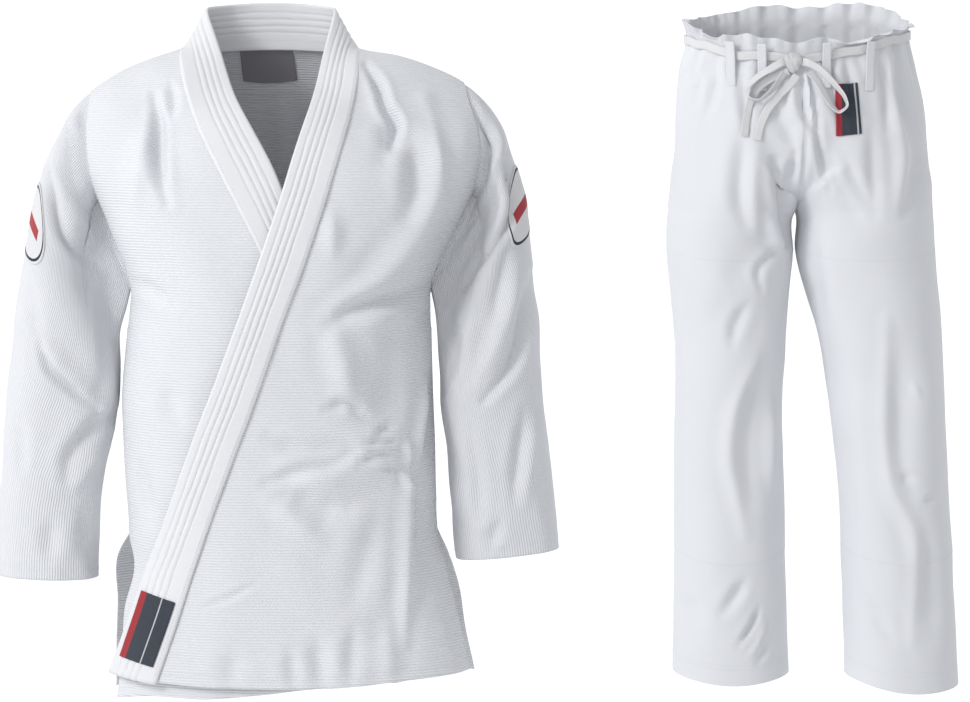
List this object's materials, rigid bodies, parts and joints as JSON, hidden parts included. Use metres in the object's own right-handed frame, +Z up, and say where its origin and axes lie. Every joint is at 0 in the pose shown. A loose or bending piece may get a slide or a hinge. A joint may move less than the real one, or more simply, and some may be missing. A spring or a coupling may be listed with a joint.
{
  "type": "jiu-jitsu uniform",
  "caption": "Wrap-front training jacket and drawstring trousers, both filled out hollow and held side by side.",
  "frame": {"origin": "middle of the jacket's neck opening at shoulder height, where a wearer would carry the jacket", "axes": "+Z up; +X towards the wearer's left, through both garments; -Y is the front"},
  "size_m": [1.2559, 0.2738, 0.9005],
  "materials": {
    "jacket_cloth": "white ribbed cotton weave",
    "collar_cloth": "white stitched cotton band",
    "trouser_cloth": "white cotton twill",
    "tape": "white flat woven tape",
    "patch_slate": "woven patch, dark slate with a plain red band",
    "patch_white": "embroidered white disc with a dark ring",
    "label_grey": "plain grey woven label"
  },
  "bodies": {
    "root": {"jacket_front_left": "jacket_cloth", "jacket_front_right": "jacket_cloth", "jacket_back": "jacket_cloth", "jacket_sleeve_left": "jacket_cloth", "jacket_sleeve_right": "jacket_cloth", "jacket_collar": "collar_cloth", "hem_patch": "patch_slate", "neck_label": "label_grey", "shoulder_patch_left": "patch_white", "shoulder_patch_right": "patch_white", "leg_front_left": "trouser_cloth", "leg_front_right": "trouser_cloth", "leg_back_left": "trouser_cloth", "leg_back_right": "trouser_cloth", "waist_front": "trouser_cloth", "waist_back": "trouser_cloth", "belt_loop_front_1": "trouser_cloth", "belt_loop_front_2": "trouser_cloth", "belt_loop_front_3": "trouser_cloth", "belt_loop_front_4": "trouser_cloth", "belt_loop_back_1": "trouser_cloth", "belt_loop_back_2": "trouser_cloth", "drawstring": "tape", "bow_knot": "tape", "bow_loop_left": "tape", "bow_loop_right": "tape", "bow_tail_left": "tape", "bow_tail_right": "tape", "trouser_patch": "patch_slate"}
  },
  "joints": []
}
